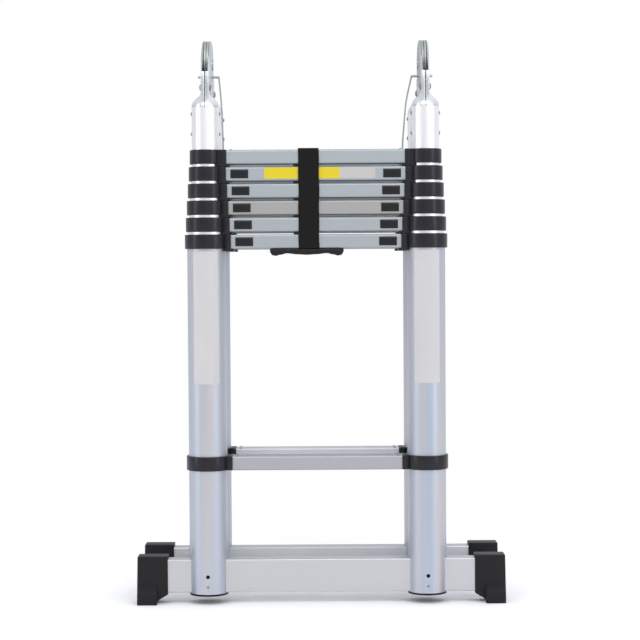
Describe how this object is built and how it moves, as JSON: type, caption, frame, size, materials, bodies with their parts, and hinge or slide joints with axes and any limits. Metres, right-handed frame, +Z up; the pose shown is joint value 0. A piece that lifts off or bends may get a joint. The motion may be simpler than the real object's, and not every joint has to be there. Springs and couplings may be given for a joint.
{
  "type": "telescopic ladder",
  "caption": "Telescopic A-frame ladder of nested round tubes and stacked rungs, hinged at the top, folded and collapsed on stabiliser bars.",
  "frame": {"origin": "on the floor, midway between the stiles and midway between the front and rear sections", "axes": "+Z up the stiles, +X to the right seen from the front, -Y out of the front section's face"},
  "size_m": [0.575, 0.187, 0.881],
  "materials": {
    "tube_aluminium": "satin anodised",
    "rung_aluminium": "matte",
    "collar_plastic": "satin moulded",
    "button_plastic": "moulded",
    "bar_aluminium": "satin",
    "foot_rubber": "matte",
    "hinge_steel": "bright zinc",
    "pin_steel": "zinc",
    "cord": "braided",
    "strap_webbing": "woven",
    "grip_plastic": "soft touch"
  },
  "bodies": {
    "front_stage_1": {"front_tubes_1": "tube_aluminium", "front_rung_1": "rung_aluminium", "front_collars_1": "collar_plastic", "front_stabiliser_bar": "bar_aluminium", "front_feet": "foot_rubber", "front_tube_plugs": "collar_plastic", "grip": "grip_plastic"},
    "front_release_1": {"front_buttons_1": "button_plastic"},
    "front_stage_2": {"front_tubes_2": "tube_aluminium", "front_rung_2": "rung_aluminium", "front_collars_2": "collar_plastic"},
    "front_release_2": {"front_buttons_2": "button_plastic"},
    "front_stage_3": {"front_tubes_3": "tube_aluminium", "front_rung_3": "rung_aluminium", "front_collars_3": "collar_plastic"},
    "front_release_3": {"front_buttons_3": "button_plastic"},
    "front_stage_4": {"front_tubes_4": "tube_aluminium", "front_rung_4": "rung_aluminium", "front_collars_4": "collar_plastic"},
    "front_release_4": {"front_buttons_4": "button_plastic"},
    "front_stage_5": {"front_tubes_5": "tube_aluminium", "front_rung_5": "rung_aluminium", "front_collars_5": "collar_plastic"},
    "front_release_5": {"front_buttons_5": "button_plastic"},
    "front_stage_6": {"front_tubes_6": "tube_aluminium", "front_rung_6": "rung_aluminium", "front_collars_6": "collar_plastic", "front_hinge_arms": "hinge_steel", "hinge_pivots": "pin_steel", "strap": "strap_webbing"},
    "rear_stage_1": {"rear_tubes_1": "tube_aluminium", "rear_rung_1": "rung_aluminium", "rear_collars_1": "collar_plastic", "rear_stabiliser_bar": "bar_aluminium", "rear_feet": "foot_rubber", "rear_tube_plugs": "collar_plastic"},
    "rear_release_1": {"rear_buttons_1": "button_plastic"},
    "rear_stage_2": {"rear_tubes_2": "tube_aluminium", "rear_rung_2": "rung_aluminium", "rear_collars_2": "collar_plastic"},
    "rear_release_2": {"rear_buttons_2": "button_plastic"},
    "rear_stage_3": {"rear_tubes_3": "tube_aluminium", "rear_rung_3": "rung_aluminium", "rear_collars_3": "collar_plastic"},
    "rear_release_3": {"rear_buttons_3": "button_plastic"},
    "rear_stage_4": {"rear_tubes_4": "tube_aluminium", "rear_rung_4": "rung_aluminium", "rear_collars_4": "collar_plastic"},
    "rear_release_4": {"rear_buttons_4": "button_plastic"},
    "rear_stage_5": {"rear_tubes_5": "tube_aluminium", "rear_rung_5": "rung_aluminium", "rear_collars_5": "collar_plastic"},
    "rear_release_5": {"rear_buttons_5": "button_plastic"},
    "rear_stage_6": {"rear_tubes_6": "tube_aluminium", "rear_rung_6": "rung_aluminium", "rear_collars_6": "collar_plastic", "rear_hinge_arms": "hinge_steel"},
    "hinge_locks": {"lock_bars": "pin_steel", "lock_cords": "cord", "cord_beads": "button_plastic"}
  },
  "joints": [
    {"name": "front_slide_2", "type": "slide", "parent": "front_stage_1", "child": "front_stage_2", "axis": [0, 0, 1], "range_m": [0, 0.318]},
    {"name": "front_slide_3", "type": "slide", "parent": "front_stage_2", "child": "front_stage_3", "axis": [0, 0, 1], "range_m": [0, 0.318]},
    {"name": "front_slide_4", "type": "slide", "parent": "front_stage_3", "child": "front_stage_4", "axis": [0, 0, 1], "range_m": [0, 0.318]},
    {"name": "front_slide_5", "type": "slide", "parent": "front_stage_4", "child": "front_stage_5", "axis": [0, 0, 1], "range_m": [0, 0.318]},
    {"name": "front_slide_6", "type": "slide", "parent": "front_stage_5", "child": "front_stage_6", "axis": [0, 0, 1], "range_m": [0, 0.318]},
    {"name": "fold", "type": "hinge", "parent": "front_stage_6", "child": "rear_stage_6", "pos_m": [0, 0, 0.843], "axis": [1, 0, 0], "range_deg": [0, 180]},
    {"name": "rear_slide_5", "type": "slide", "parent": "rear_stage_6", "child": "rear_stage_5", "axis": [0, 0, -1], "range_m": [0, 0.318]},
    {"name": "rear_slide_4", "type": "slide", "parent": "rear_stage_5", "child": "rear_stage_4", "axis": [0, 0, -1], "range_m": [0, 0.318]},
    {"name": "rear_slide_3", "type": "slide", "parent": "rear_stage_4", "child": "rear_stage_3", "axis": [0, 0, -1], "range_m": [0, 0.318]},
    {"name": "rear_slide_2", "type": "slide", "parent": "rear_stage_3", "child": "rear_stage_2", "axis": [0, 0, -1], "range_m": [0, 0.318]},
    {"name": "rear_slide_1", "type": "slide", "parent": "rear_stage_2", "child": "rear_stage_1", "axis": [0, 0, -1], "range_m": [0, 0.318]},
    {"name": "front_release_1_press", "type": "slide", "parent": "front_stage_1", "child": "front_release_1", "axis": [0, 1, 0], "range_m": [0, 0.004], "stiffness_N_per_m": 400},
    {"name": "front_release_2_press", "type": "slide", "parent": "front_stage_2", "child": "front_release_2", "axis": [0, 1, 0], "range_m": [0, 0.004], "stiffness_N_per_m": 400},
    {"name": "front_release_3_press", "type": "slide", "parent": "front_stage_3", "child": "front_release_3", "axis": [0, 1, 0], "range_m": [0, 0.004], "stiffness_N_per_m": 400},
    {"name": "front_release_4_press", "type": "slide", "parent": "front_stage_4", "child": "front_release_4", "axis": [0, 1, 0], "range_m": [0, 0.004], "stiffness_N_per_m": 400},
    {"name": "front_release_5_press", "type": "slide", "parent": "front_stage_5", "child": "front_release_5", "axis": [0, 1, 0], "range_m": [0, 0.004], "stiffness_N_per_m": 400},
    {"name": "rear_release_1_press", "type": "slide", "parent": "rear_stage_1", "child": "rear_release_1", "axis": [0, -1, 0], "range_m": [0, 0.004], "stiffness_N_per_m": 400},
    {"name": "rear_release_2_press", "type": "slide", "parent": "rear_stage_2", "child": "rear_release_2", "axis": [0, -1, 0], "range_m": [0, 0.004], "stiffness_N_per_m": 400},
    {"name": "rear_release_3_press", "type": "slide", "parent": "rear_stage_3", "child": "rear_release_3", "axis": [0, -1, 0], "range_m": [0, 0.004], "stiffness_N_per_m": 400},
    {"name": "rear_release_4_press", "type": "slide", "parent": "rear_stage_4", "child": "rear_release_4", "axis": [0, -1, 0], "range_m": [0, 0.004], "stiffness_N_per_m": 400},
    {"name": "rear_release_5_press", "type": "slide", "parent": "rear_stage_5", "child": "rear_release_5", "axis": [0, -1, 0], "range_m": [0, 0.004], "stiffness_N_per_m": 400},
    {"name": "lock_pull", "type": "slide", "parent": "front_stage_6", "child": "hinge_locks", "axis": [0, 0, -1], "range_m": [0, 0.005], "stiffness_N_per_m": 500}
  ]
}
